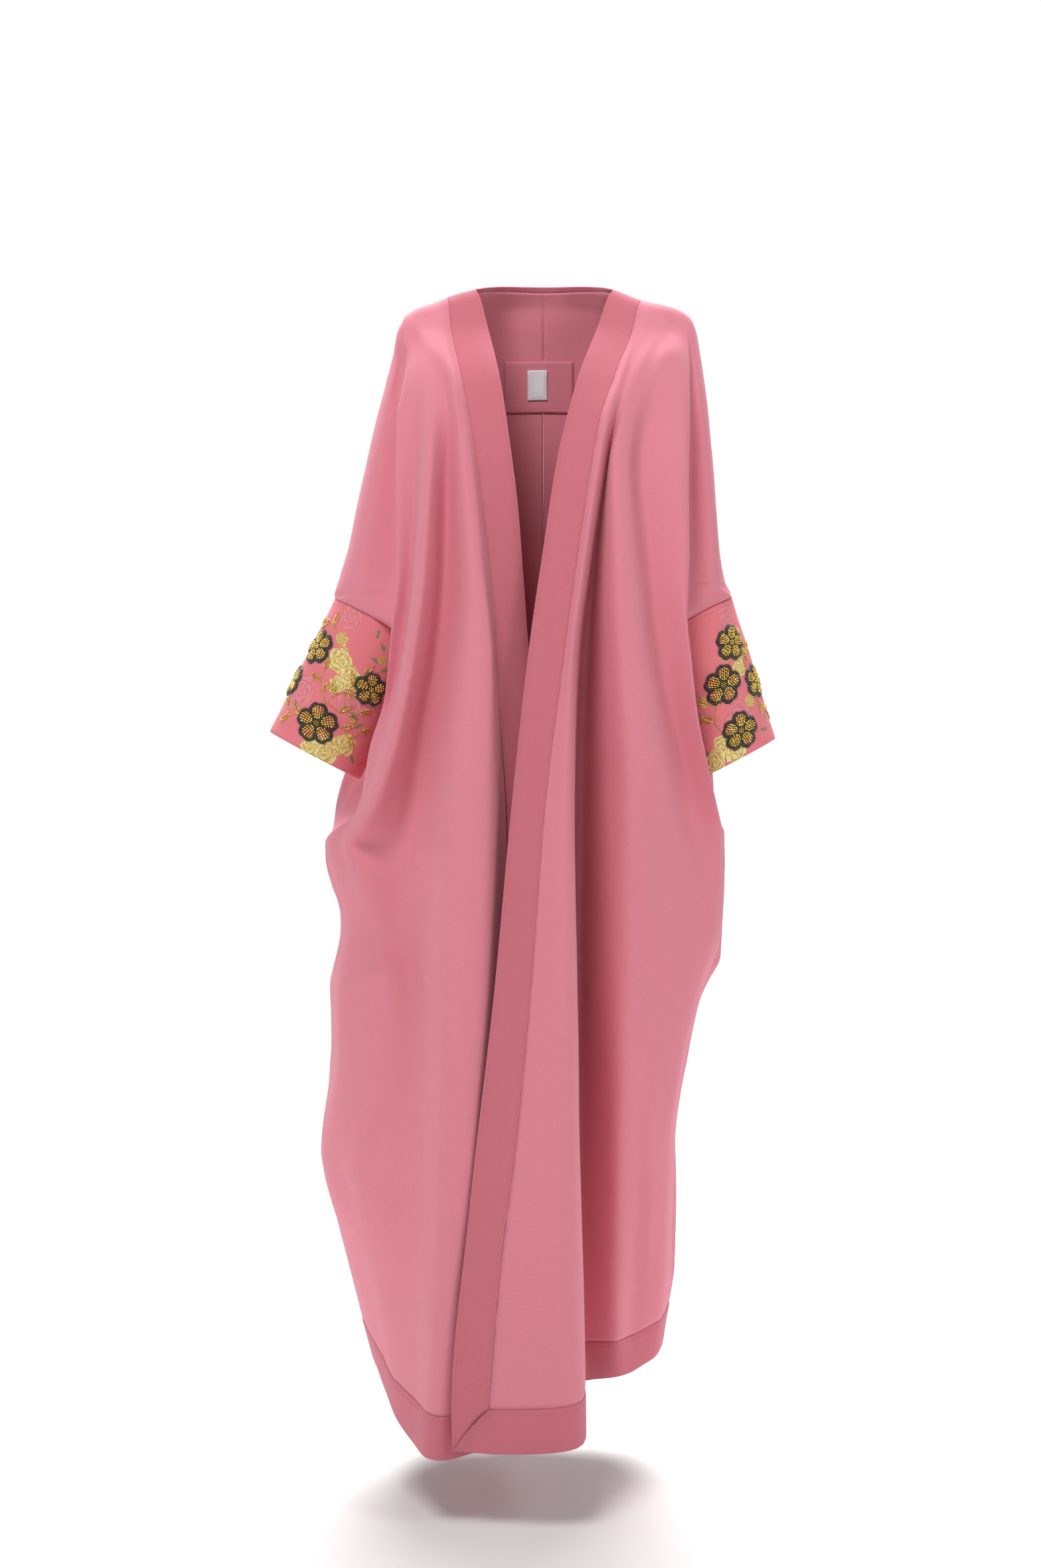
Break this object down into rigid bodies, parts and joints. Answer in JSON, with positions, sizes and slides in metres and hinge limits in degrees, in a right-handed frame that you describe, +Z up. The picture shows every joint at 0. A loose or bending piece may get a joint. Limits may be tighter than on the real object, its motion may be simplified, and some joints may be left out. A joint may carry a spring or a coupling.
{
  "type": "embroidered abaya",
  "caption": "Floor-length open-front batwing robe in pink cotton with wide front bands, hem bands and beaded flower cuffs, hollow as worn.",
  "frame": {"origin": "midway between the wearer's shoulders, at the height where the shoulders carry the cloth", "axes": "+Z up along the garment's length, -Y out of the open front, +X to the wearer's left"},
  "size_m": [0.6248, 0.4328, 1.4126],
  "materials": {
    "pink_cotton": "plain-woven pink cotton with a soft sheen",
    "pink_band": "doubled pink cotton, topstitched",
    "rose_jacquard": "rose jacquard with printed flowers and beadwork",
    "white_satin": "plain white satin, bare",
    "gold_beads": "gold bead embroidery edged in black beads"
  },
  "bodies": {
    "root": {"front_right": "pink_cotton", "front_left": "pink_cotton", "back_right": "pink_cotton", "back_left": "pink_cotton", "band_right": "pink_band", "band_left": "pink_band", "hem_front_right": "pink_band", "hem_front_left": "pink_band", "hem_back_right": "pink_band", "hem_back_left": "pink_band", "neck_binding": "pink_band", "neck_patch": "pink_cotton", "neck_label": "white_satin", "cuff_right": "rose_jacquard", "cuff_left": "rose_jacquard", "flower_right_1": "gold_beads", "flower_right_2": "gold_beads", "flower_right_3": "gold_beads", "flower_right_4": "gold_beads", "flower_right_5": "gold_beads", "flower_right_6": "gold_beads", "flower_right_7": "gold_beads", "flower_left_1": "gold_beads", "flower_left_2": "gold_beads", "flower_left_3": "gold_beads", "flower_left_4": "gold_beads", "flower_left_5": "gold_beads", "flower_left_6": "gold_beads", "flower_left_7": "gold_beads"}
  },
  "joints": []
}
